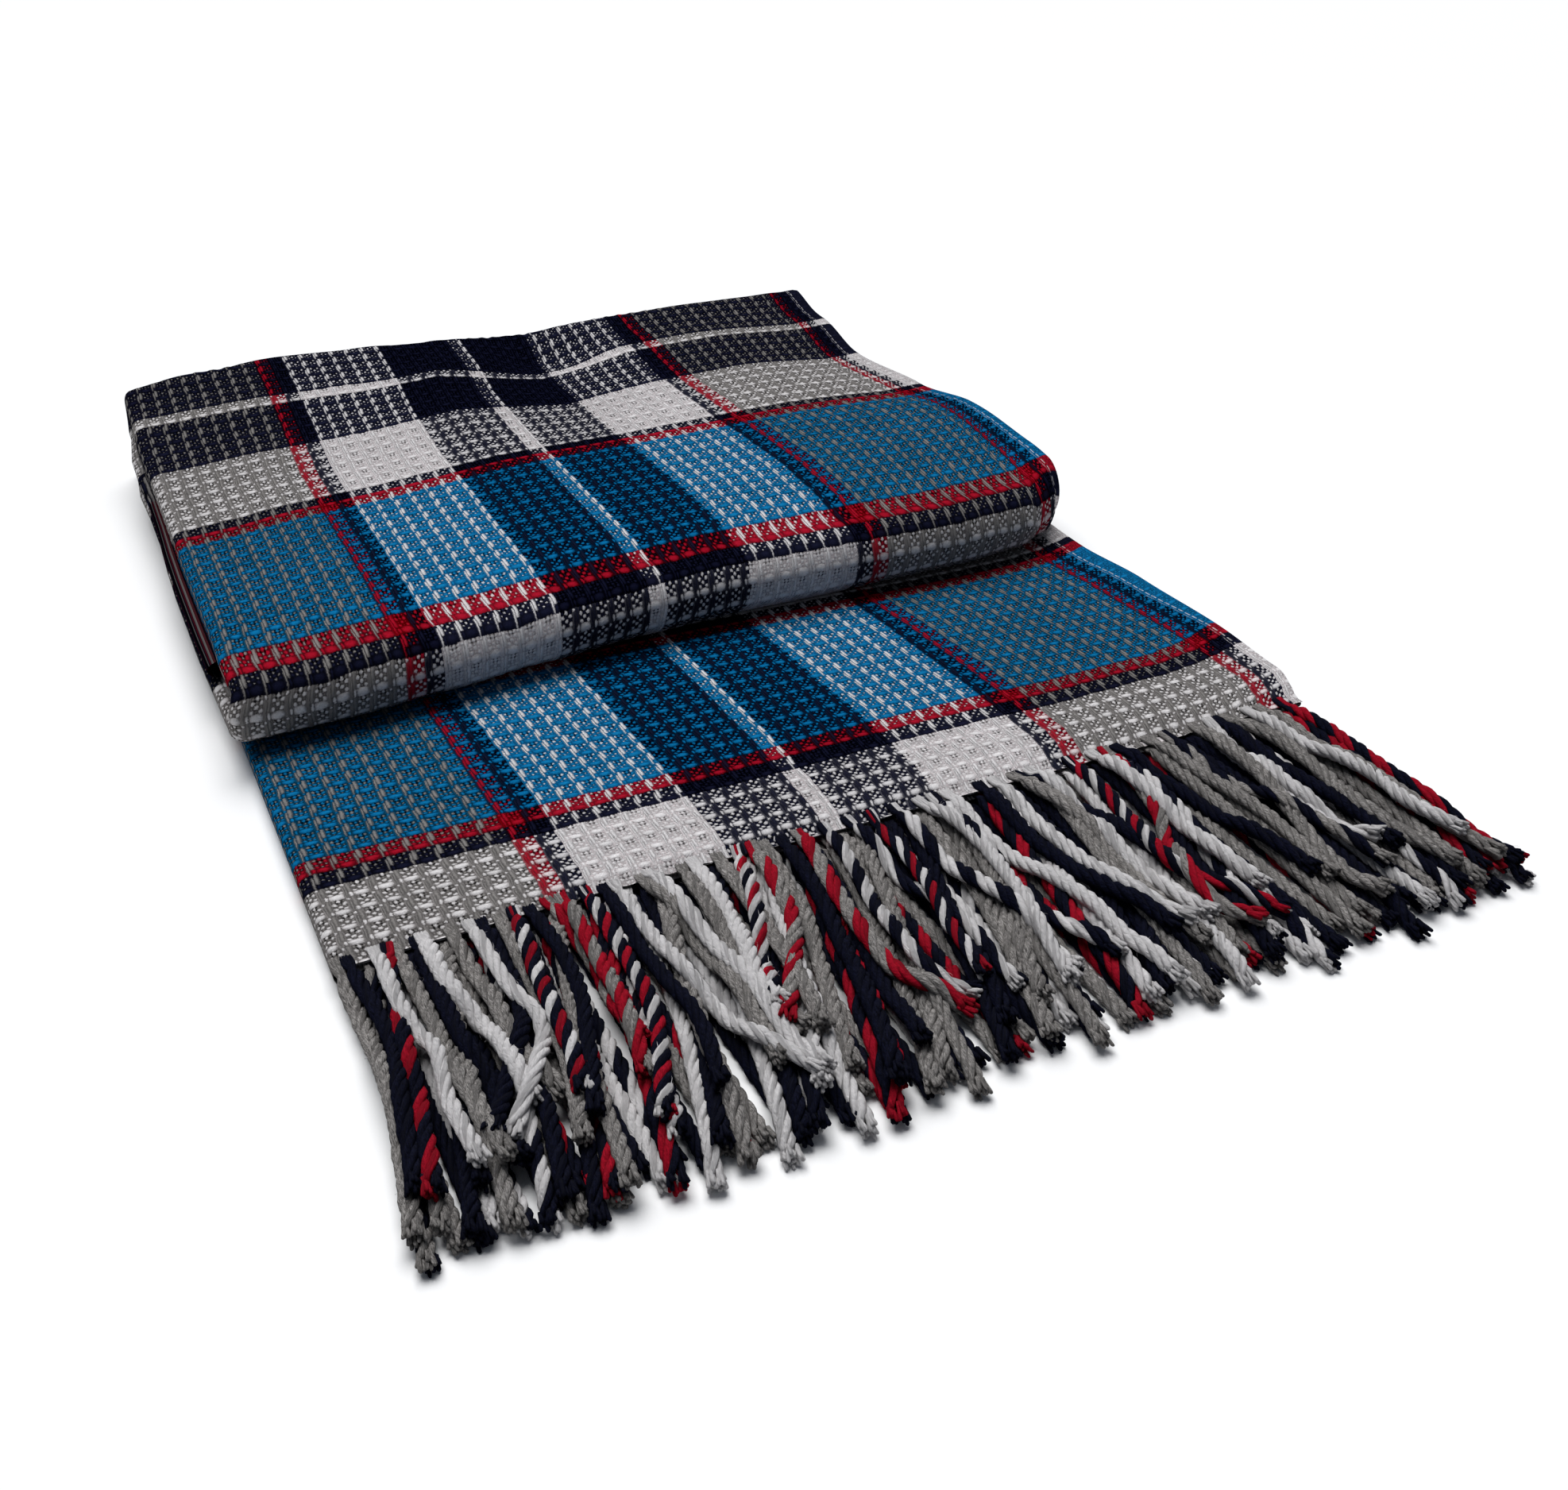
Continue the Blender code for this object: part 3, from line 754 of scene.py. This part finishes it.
    # Fibres along each yarn, and each yarn's own shade
    along = between(warp_on_top, times(u, YARNS), times(v, YARNS))
    across = between(warp_on_top, pick, end)
    yarn_number = between(warp_on_top, pick_number, end_number)
    fibre_place = join(times(along, 1.1), times(across, 4.5), yarn_number)
    fibre = noise(fibre_place, 1.7, 3.0, 0.75)
    shade = random(join(yarn_number, warp_on_top, 2.0))

    on_top = graph.mix(warp_on_top, weft, warp)
    beneath = graph.mix(times(in_float, 0.12), graph.shared(warp, weft), weft)
    colour = graph.mix(shown, beneath, on_top)
    stitch_u = below(calc("ABSOLUTE", minus(cell_u, STITCH_CELL)), 0.06)
    stitch_v = below(calc("FRACT", times(cell_v, 1.9)), 0.7)
    colour = graph.mix(times(times(stitch_u, stitch_v), 0.55), colour, WHITE)
    # Painted shade: each yarn darker towards its edges where it dips between others, floats a little less
    # dark, holes darker still
    painted_lit_share = remap(crown, 0.0, 0.85, add(0.26, times(in_float, 0.2)), 0.95)
    painted_lit_share = times(painted_lit_share, remap(hole, 0.0, 1.0, 1.0, HOLE_PAINTED_LIGHT))
    light = times(graph.spread(fibre, 0.32, 0.25, 0.75), graph.spread(shade, 0.07))
    # Base colour with the painted shade between yarns and its painted bounce fill
    graph.put(graph.shader.inputs["Base Color"], graph.painted_gap_shade(graph.scaled(colour, light), painted_lit_share))
    bulk = add(0.5, times(add(in_dash, in_float), 0.6))
    height = add(times(crown, bulk), times(fibre, 0.25))
    graph.raised(minus(height, times(hole, 0.4)), CLOTH_BUMP)
    soft_finish(graph, 0.0)
    return graph.material


def yarn_material(name, colour, heather):
    """Soft spun yarn: fibres wind round it, and its shade varies by heather and drifts along it."""
    graph = Graph(name)
    add, times, join = graph.add, graph.times, graph.join
    noise, spread = graph.noise, graph.spread
    around, along, own = graph.attribute("spun")
    wound = times(graph.minus(around, times(along, 0.05)), 2 * math.pi)
    across_x = graph.calc("SINE", wound)
    across_y = graph.calc("COSINE", wound)
    slow = add(times(along, 0.35), times(own, 9.0))
    quick = add(times(along, 0.16), times(own, 31.0))
    coarse = noise(join(across_x, across_y, slow), 1.6, 3.0)
    fine = noise(join(across_x, across_y, quick), 4.5, 3.0, 0.8)
    drift = noise(join(times(along, 0.02), own, around), 2.0)
    light = spread(fine, heather, 0.36, 0.64)
    light = times(light, spread(coarse, heather / 2, 0.3, 0.7))
    light = times(light, spread(drift, 0.08, 0.3, 0.7))
    graph.put(graph.shader.inputs["Base Color"], graph.scaled(colour, light))
    graph.raised(add(times(coarse, 1.4), fine), YARN_BUMP)
    soft_finish(graph, 0.015)
    return graph.material


# Fringe
YARN_NAMES = "WGNR"
# Yarns in the order of YARN_NAMES: name, colour, how heathered
FRINGE_YARNS = (
    ("white", WHITE, 0.12), ("grey", YARN_GREY, 0.7), ("navy", YARN_NAVY, 0.7), ("red", RED, 0.3),
)
STRANDS = 4
STRAND_RADIUS = 1.32
TASSEL_RADIUS = 1.5
TWIST_PITCH = 21.0
PATH_STEP = 2.0
ROOT_INSIDE = 5.0
ROOT_SPACING = 1.0
# Height of each ply's edge where its tassels leave it
ROOT_HEIGHTS = {"fringe_bottom": 2.6, "fringe_third": 5.0, "fringe_second": 7.7, "fringe_top": 8.1}
ROOT_BLEND = 16.0
STACK_RADIUS = 2.5
STACK_PRESSED = 0.82
STACK_TOP = 12.5
SOFTENING_PASSES = 10
CURVE_SAMPLES = 24
TIP_LOOSE = 7.0
FINGER_RADIUS = 0.65
HAIR_WIDTH = 0.11
FINGER_SIDES = 5
BETWEEN_COUNT = 60
BETWEEN_LENGTH = 117.0
LOWER_PALETTE = ("GG", "NN", "WW", "NN", "NR", "GG", "WN", "NN")
BETWEEN_PALETTE = ("GG", "NN", "WW", "WN", "NN", "GG", "RN")
SEED = 11
# Sides of a strand, yarn ends at its tip, loose fibres along it
SEEN_DETAIL = (6, 5, 18)
HIDDEN_DETAIL = (5, 4, 6)

# Tassels seen on top: colours of the yarns, x of the root, then for each point x and how far
# down the fringe it lies
UPPER_TASSELS = (
    ("GG", 2, 3, 39, 2, 70, -4, 112), ("NN", 5, 8, 41, 4, 73, 0, 100),
    ("WW", 14, 14, 34, 18, 56, 16, 77, 17, 100), ("RN", 18, 12, 39, 9, 70, 4, 103),
    ("GG", 20, 21, 45, 21, 70, 24, 101), ("WW", 29, 29, 28, 35, 49, 36, 60, 37, 82),
    ("NN", 27, 26, 26, 26, 55, 29, 74, 28, 101), ("GG", 38, 40, 39, 40, 59, 45, 82),
    ("WW", 44, 45, 37, 49, 56, 42, 74, 29, 93), ("NN", 48, 47, 37, 43, 57, 32, 76, 24, 92),
    ("GG", 54, 53, 42, 51, 74, 45, 102), ("WNR", 59, 54, 47, 53, 70, 50, 88),
    ("NN", 64, 64, 44, 59, 68, 51, 96), ("GR", 70, 74, 30, 72, 55, 73, 72),
    ("RG", 75, 74, 36, 73, 60, 70, 85), ("RNW", 83, 82, 42, 80, 68, 68, 105),
    ("NN", 89, 89, 48, 90, 77, 86, 101), ("WW", 93, 94, 43, 99, 70, 103, 89, 112, 108),
    ("GG", 102, 106, 34, 107, 67, 105, 99), ("WW", 105, 108, 35, 111, 66, 111, 89, 114, 109),
    ("GG", 117, 115, 30, 114, 62, 117, 90), ("WW", 121, 120, 27, 117, 49, 113, 68, 115, 80),
    ("GG", 130, 128, 30, 126, 60, 122, 92), ("NWR", 138, 129, 30, 120, 57, 113, 80),
    ("GR", 143, 136, 42, 128, 62, 114, 86), ("GG", 147, 144, 34, 137, 61, 129, 88, 125, 106),
    ("NN", 154, 150, 34, 144, 67, 138, 97, 132, 119), ("NN", 160, 157, 36, 150, 70, 146, 108),
    ("RG", 160, 154, 39, 152, 66, 155, 85, 166, 100), ("WN", 170, 166, 33, 162, 60, 162, 85, 171, 96),
    ("WN", 179, 180, 35, 184, 64, 186, 97), ("WNR", 188, 186, 32, 180, 62, 176, 92),
    ("WN", 197, 197, 35, 202, 66, 207, 96), ("WW", 207, 210, 36, 206, 70, 200, 104),
    ("WW", 218, 220, 43, 226, 75, 228, 100, 230, 116), ("NW", 213, 211, 40, 214, 72, 219, 100),
    ("NN", 232, 230, 37, 235, 68, 242, 98), ("WW", 238, 237, 46, 240, 75, 250, 96),
    ("NN", 247, 258, 29, 261, 54, 264, 70), ("GG", 246, 250, 47, 250, 77, 251, 104),
    ("WW", 253, 254, 56, 255, 78, 258, 96), ("RNW", 270, 267, 35, 261, 66, 267, 82, 280, 104),
    ("GR", 286, 278, 41, 266, 70, 263, 93, 268, 107), ("NN", 291, 297, 43, 300, 68, 303, 92),
    ("WW", 280, 280, 51, 280, 72, 283, 90), ("GG", 305, 307, 36, 310, 66, 308, 96),
    ("GG", 327, 322, 47, 317, 74, 314, 97, 317, 111), ("WW", 334, 330, 32, 327, 57, 335, 88),
    ("NN", 338, 337, 32, 338, 49, 339, 70, 338, 93), ("GG", 341, 346, 24, 345, 53, 341, 77, 349, 109),
    ("WW", 352, 353, 32, 358, 59, 357, 80, 361, 99), ("GG", 358, 358, 38, 359, 58, 360, 86, 365, 112),
    ("RN", 368, 366, 29, 365, 62, 367, 89, 373, 114), ("NG", 313, 315, 40, 321, 70, 327, 100),
)
# Tips seen of the tassels beneath: colours, x of the tip and how far down the fringe it lies
LOWER_TIPS = (
    ("NG", -3, 120), ("NN", 10, 117), ("GG", 20, 119), ("WN", 29, 121), ("NN", 41, 124), ("GG", 51, 121),
    ("NR", 63, 124), ("WW", 73, 127), ("GG", 84, 123), ("WW", 95, 127), ("NN", 106, 122),
    ("WW", 118, 127), ("RN", 128, 127), ("GG", 142, 123), ("GG", 154, 127), ("NN", 168, 121),
    ("GG", 183, 119), ("GG", 196, 126), ("RN", 214, 121), ("NN", 226, 117), ("GG", 238, 124),
    ("WW", 252, 124), ("NN", 266, 119), ("WN", 282, 127), ("GG", 300, 120), ("NN", 318, 127),
    ("WW", 329, 119), ("NW", 340, 122), ("GG", 353, 117), ("NR", 366, 114),
)


def walked_along(points):
    """Length of the line up to each of its points."""
    return np.concatenate([[0.0], np.cumsum(np.linalg.norm(np.diff(points, axis=0), axis=1))])


def curve_through(points):
    """Points of a smooth line through the given ones, evenly spaced by about PATH_STEP."""
    points = np.array(points, float)
    padded = np.vstack([2 * points[0] - points[1], points, 2 * points[-1] - points[-2]])
    line = []
    for index in range(1, len(padded) - 2):
        before, start, end, after = padded[index - 1:index + 3]
        for share in np.linspace(0.0, 1.0, CURVE_SAMPLES, endpoint=False):
            line.append(0.5 * (
                2 * start + (end - before) * share
                + (2 * before - 5 * start + 4 * end - after) * share ** 2
                + (3 * start - before - 3 * end + after) * share ** 3
            ))
    line.append(points[-1])
    line = np.array(line)
    walked = walked_along(line)
    even = np.linspace(0.0, walked[-1], int(walked[-1] / PATH_STEP) + 1)
    return np.stack([np.interp(even, walked, places) for places in line.T], axis=1)


def lay_down(entries):
    """Heights of tassels that are laid down one after another, each on those before it."""
    laid = []
    reach = 2.0 * STACK_RADIUS * STACK_PRESSED
    for node, _, path in entries:
        height = np.full(len(path), STACK_RADIUS)
        for other, other_height in laid:
            apart = np.linalg.norm(path[:, None, :] - other[None, :, :], axis=2)
            lift = np.sqrt(np.clip(reach * reach - apart * apart, 0.0, None))
            needed = np.where(apart < reach, other_height[None, :] + lift, 0.0)
            height = np.maximum(height, needed.max(axis=1))
        height = np.minimum(height, STACK_TOP)
        for _ in range(SOFTENING_PASSES):
            ends = np.concatenate([height[:1], height, height[-1:]])
            softened = 0.25 * ends[:-2] + 0.5 * ends[1:-1] + 0.25 * ends[2:]
            height = np.maximum(softened, 0.35 * height + 0.65 * softened)
        walked = np.arange(len(path)) * PATH_STEP
        from_root = smooth(walked / ROOT_BLEND)
        height = ROOT_HEIGHTS[node] * (1.0 - from_root) + height * from_root
        laid.append((path, height))
    return [height for _, height in laid]


def side_and_up(points):
    """Directions across and above a line of points."""
    tangent = np.gradient(points, axis=0)
    tangent /= np.linalg.norm(tangent, axis=1)[:, None]
    side = np.cross(tangent, (0.0, 0.0, 1.0))
    side /= np.linalg.norm(side, axis=1)[:, None]
    return tangent, side, np.cross(side, tangent)


class YarnMesh:
    """Collects the strands of one ply's fringe in one mesh."""

    def __init__(self):
        self.points = []
        self.values = []
        self.faces = []
        self.colours = []
        self.count = 0

    def add_rings(self, rings, values, colour):
        """A closed tube through rings of points."""
        count, sides = rings.shape[:2]
        index = self.count + np.arange(count * sides).reshape(count, sides)
        after = np.roll(index, -1, axis=1)
        quads = np.stack([index[:-1], after[:-1], after[1:], index[1:]], axis=-1)
        self.points.append(rings.reshape(-1, 3))
        self.values.append(values.reshape(-1, 3))
        self.count += count * sides
        self.faces += quads.reshape(-1, 4).tolist()
        self.faces += [index[0, ::-1].tolist(), index[-1].tolist()]
        self.colours += [colour] * ((count - 1) * sides + 2)

    def add_strand(self, points, radii, colour, own, sides):
        _, side, up = side_and_up(points)
        angle = 2 * np.pi * np.arange(sides) / sides + own * 6.0
        across = np.cos(angle)[None, :, None] * side[:, None, :]
        above = np.sin(angle)[None, :, None] * up[:, None, :]
        rings = points[:, None, :] + radii[:, None, None] * (across + above)
        values = np.zeros(rings.shape)
        values[..., 0] = np.arange(sides)[None, :] / sides
        values[..., 1] = walked_along(points)[:, None]
        values[..., 2] = own
        self.add_rings(rings, values, colour)

    def add_hair(self, root, tip, bend, colour, own):
        """One loose fibre: a thin strip that tapers to its tip."""
        ahead = tip - root
        flat = np.cross(ahead, bend)
        flat = flat / max(1e-6, np.linalg.norm(flat)) * HAIR_WIDTH / 2
        middle = (root + tip) / 2 + bend
        points = np.array([root - flat, root + flat, middle + flat * 0.8, middle - flat * 0.8, tip])
        start = self.count
        self.points.append(points)
        self.values.append(np.array([(0.5, own * 40.0, own)] * 5))
        self.count += 5
        self.faces += [(start, start + 1, start + 2, start + 3), (start + 3, start + 2, start + 4)]
        self.colours += [colour, colour]


def strand_letters(colours):
    """The colours of a tassel's strands, each in a broad band round it."""
    if len(colours) == 2:
        return colours[0] * 2 + colours[1] * 2
    return colours + colours[1]


def add_tassel(mesh, colours, line, detail, rng):
    """Strands twisted round a line of points, with a brush of fibres at the tip."""
    sides, fingers, hairs = detail
    walked = np.arange(len(line)) * PATH_STEP
    total = walked[-1]
    tangent, side, up = side_and_up(line)
    pitch = TWIST_PITCH * rng.uniform(0.85, 1.2) * (1.0 + 0.12 * np.sin(walked / rng.uniform(9.0, 16.0)))
    size = rng.uniform(0.9, 1.08)
    phase = rng.uniform(0.0, 2 * math.pi)
    gathered = smooth((walked - ROOT_INSIDE + 1.0) / 8.0)
    turn = 2 * math.pi * np.cumsum(PATH_STEP / pitch) * smooth(walked / 4.0)
    loosened = smooth((walked - total + TIP_LOOSE) / TIP_LOOSE)
    for number, letter in enumerate(strand_letters(colours)):
        colour = YARN_NAMES.index(letter)
        own = rng.uniform(0.0, 1.0)
        angle = phase - turn + 2 * math.pi * number / STRANDS
        uneven = 1.0 + 0.1 * np.sin(walked / 5.0 + own * 20.0)
        reach = size * TASSEL_RADIUS * (1.0 + 0.35 * loosened) * uneven
        wound = reach[:, None] * (np.cos(angle)[:, None] * side + 0.84 * np.sin(angle)[:, None] * up)
        flat = (number - (STRANDS - 1) / 2) * ROOT_SPACING * side
        centre = line + gathered[:, None] * wound + (1.0 - gathered[:, None]) * flat
        swell = 1.0 + 0.06 * np.sin(walked / 2.3 + own * 30.0)
        radii = size * STRAND_RADIUS * swell * (0.6 + 0.4 * gathered) * (1.0 - 0.2 * loosened)
        centre[:, 2] = np.maximum(centre[:, 2], radii + 0.1)
        mesh.add_strand(centre, radii, colour, own, sides)
        add_fingers(mesh, centre[-1], tangent[-1], side[-1], up[-1], colour, fingers, rng)
        for _ in range(hairs):
            index = int(rng.integers(6, len(line) - 1))
            spin = rng.uniform(0.0, 2 * math.pi)
            out = math.cos(spin) * side[index] + math.sin(spin) * up[index]
            root = centre[index] + out * radii[index] * 0.9
            tip = root + out * rng.uniform(0.3, 1.5) + tangent[index] * rng.uniform(-3.0, 3.0)
            root[2] = max(root[2], 0.3)
            tip[2] = max(tip[2], 0.3)
            mesh.add_hair(root, tip, out * rng.uniform(0.1, 0.6), colour, rng.uniform(0.0, 1.0))


def add_fingers(mesh, end, ahead, side, up, colour, count, rng):
    """Blunt ends of the yarns that one strand is spun from."""
    for number in range(count):
        spin = 2 * math.pi * (number + rng.uniform(-0.3, 0.3)) / count
        out = math.cos(spin) * side + math.sin(spin) * up
        reach = rng.uniform(1.6, 4.4)
        splay = rng.uniform(0.9, 1.5)
        shares = np.array([-0.5, 0.0, 0.5, 0.9, 1.0])
        outward = 0.5 + splay * 0.5 * np.clip(shares, 0, 1)
        points = end + np.outer(shares * reach, ahead) + np.outer(outward, out)
        radii = FINGER_RADIUS * rng.uniform(0.85, 1.2) * np.array([0.9, 1.0, 1.05, 0.95, 0.5])
        points[:, 2] = np.maximum(points[:, 2], radii + 0.05)
        mesh.add_strand(points, radii, colour, rng.uniform(0.0, 1.0), FINGER_SIDES)


def upper_tassels():
    """Tassels seen on top, each with its points as pairs of x and y."""
    return [
        (colours, root_x, *((x, -down) for x, down in zip(numbers[::2], numbers[1::2])))
        for colours, root_x, *numbers in UPPER_TASSELS
    ]


def lower_tassels():
    """Tassels beneath, from roots along the cloth's end to the tips that show."""
    tassels = []
    for number, (colours, tip_x, down) in enumerate(LOWER_TIPS):
        root_x = 6.0 + 365.0 * (number + 0.5) / len(LOWER_TIPS)
        middle_x = (root_x + tip_x) / 2 + 4.0 * math.sin(2.1 * number)
        tassels.append((colours, root_x, (middle_x, -down * 0.5), (tip_x, -down)))
        if number % 3 < 2:
            near_y = 8.0 - down + 5.0 * math.sin(1.3 * number)
            near = LOWER_PALETTE[number % len(LOWER_PALETTE)]
            tassels.append((near, root_x + 6.0, (middle_x + 6.0, near_y * 0.5), (tip_x + 6.0, near_y)))
    return tassels


def between_tassels():
    """Tassels that fill the lowest level between those of lower_tassels()."""
    tassels = []
    for number in range(BETWEEN_COUNT):
        root_x = 2.0 + 372.0 * (number + 0.5) / BETWEEN_COUNT
        lean = 1.5 * math.sin(1.7 * number + 0.6)
        length = BETWEEN_LENGTH + 4.0 * math.sin(2.9 * number)
        tip_x = root_x + lean + 0.5 * math.sin(5.1 * number)
        colours = BETWEEN_PALETTE[number % len(BETWEEN_PALETTE)]
        tassels.append((colours, root_x, (root_x + lean, -length * 0.5), (tip_x, -length)))
    return tassels


def fringes(materials):
    """Four pieces, one for each ply's fringe, laid on each other."""
    rng = np.random.default_rng(SEED)
    upper = upper_tassels()
    bright = [tassel for tassel in upper if set(tassel[0]) & set("WR")]
    groups = {
        "fringe_bottom": between_tassels(),
        "fringe_third": lower_tassels(),
        "fringe_second": [tassel for tassel in upper if tassel not in bright],
        "fringe_top": sorted(bright, key=lambda tassel: tassel[0] == "WW"),
    }
    entries = []
    for node, tassels in groups.items():
        for colours, root_x, *points in tassels:
            flat = [(root_x, root_y_at(root_x) + ROOT_INSIDE), *points]
            entries.append((node, colours, curve_through(flat)))
    meshes = {node: YarnMesh() for node in groups}
    for (node, colours, path), height in zip(entries, lay_down(entries)):
        line = np.column_stack([path, height])
        detail = SEEN_DETAIL if node in ("fringe_second", "fringe_top") else HIDDEN_DETAIL
        add_tassel(meshes[node], colours, line, detail, rng)
    pieces = []
    for node, mesh in meshes.items():
        points = np.concatenate(mesh.points)
        points[:, 2] = np.maximum(points[:, 2], LOWEST_Z)
        values = np.concatenate(mesh.values)
        name = node.replace("fringe", "tassels")
        piece = mesh_object(name, points, mesh.faces, "spun", values, materials, mesh.colours)
        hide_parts(node)
        pieces.append(piece)
    return pieces


def floor():
    data = bpy.data.meshes.new("floor")
    corners = [(x * FLOOR_HALF, y * FLOOR_HALF, 0.0) for x, y in ((-1, -1), (1, -1), (1, 1), (-1, 1))]
    data.from_pydata(corners, [], [(0, 1, 2, 3)])
    graph = Graph("pale_floor")
    graph.shader.inputs["Base Color"].default_value = FLOOR_COLOUR
    graph.shader.inputs["Roughness"].default_value = 0.9
    data.materials.append(graph.material)
    link_object("floor", data)


def lights():
    scene = bpy.context.scene
    scene.view_settings.view_transform = "Standard"
    world = bpy.data.worlds.new("pale_surround")
    world.use_nodes = True
    background = world.node_tree.nodes["Background"]
    background.inputs["Color"].default_value = SURROUND_COLOUR
    background.inputs["Strength"].default_value = SURROUND_STRENGTH
    scene.world = world
    data = bpy.data.lights.new("overhead", "SUN")
    data.energy = OVERHEAD_STRENGTH
    data.angle = math.radians(OVERHEAD_SPREAD)
    item = link_object("overhead", data)
    item.rotation_euler = (-Vector(OVERHEAD_FROM)).to_track_quat("-Z", "Y").to_euler()


def camera():
    data = bpy.data.cameras.new("camera")
    data.lens = CAMERA_LENS
    data.sensor_width = SENSOR_WIDTH
    item = link_object("camera", data)
    item.location = Vector(to_frame(CAMERA_AT))
    item.rotation_euler = Vector(CAMERA_FORWARD).to_track_quat("-Z", "Y").to_euler()
    bpy.context.scene.camera = item


camera()
lights()
floor()
cloth = folded_sheet(cloth_material())
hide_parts("folded_cloth")
yarns = [yarn_material("yarn_" + name, colour, heather) for name, colour, heather in FRINGE_YARNS]
tassels = fringes(yarns)
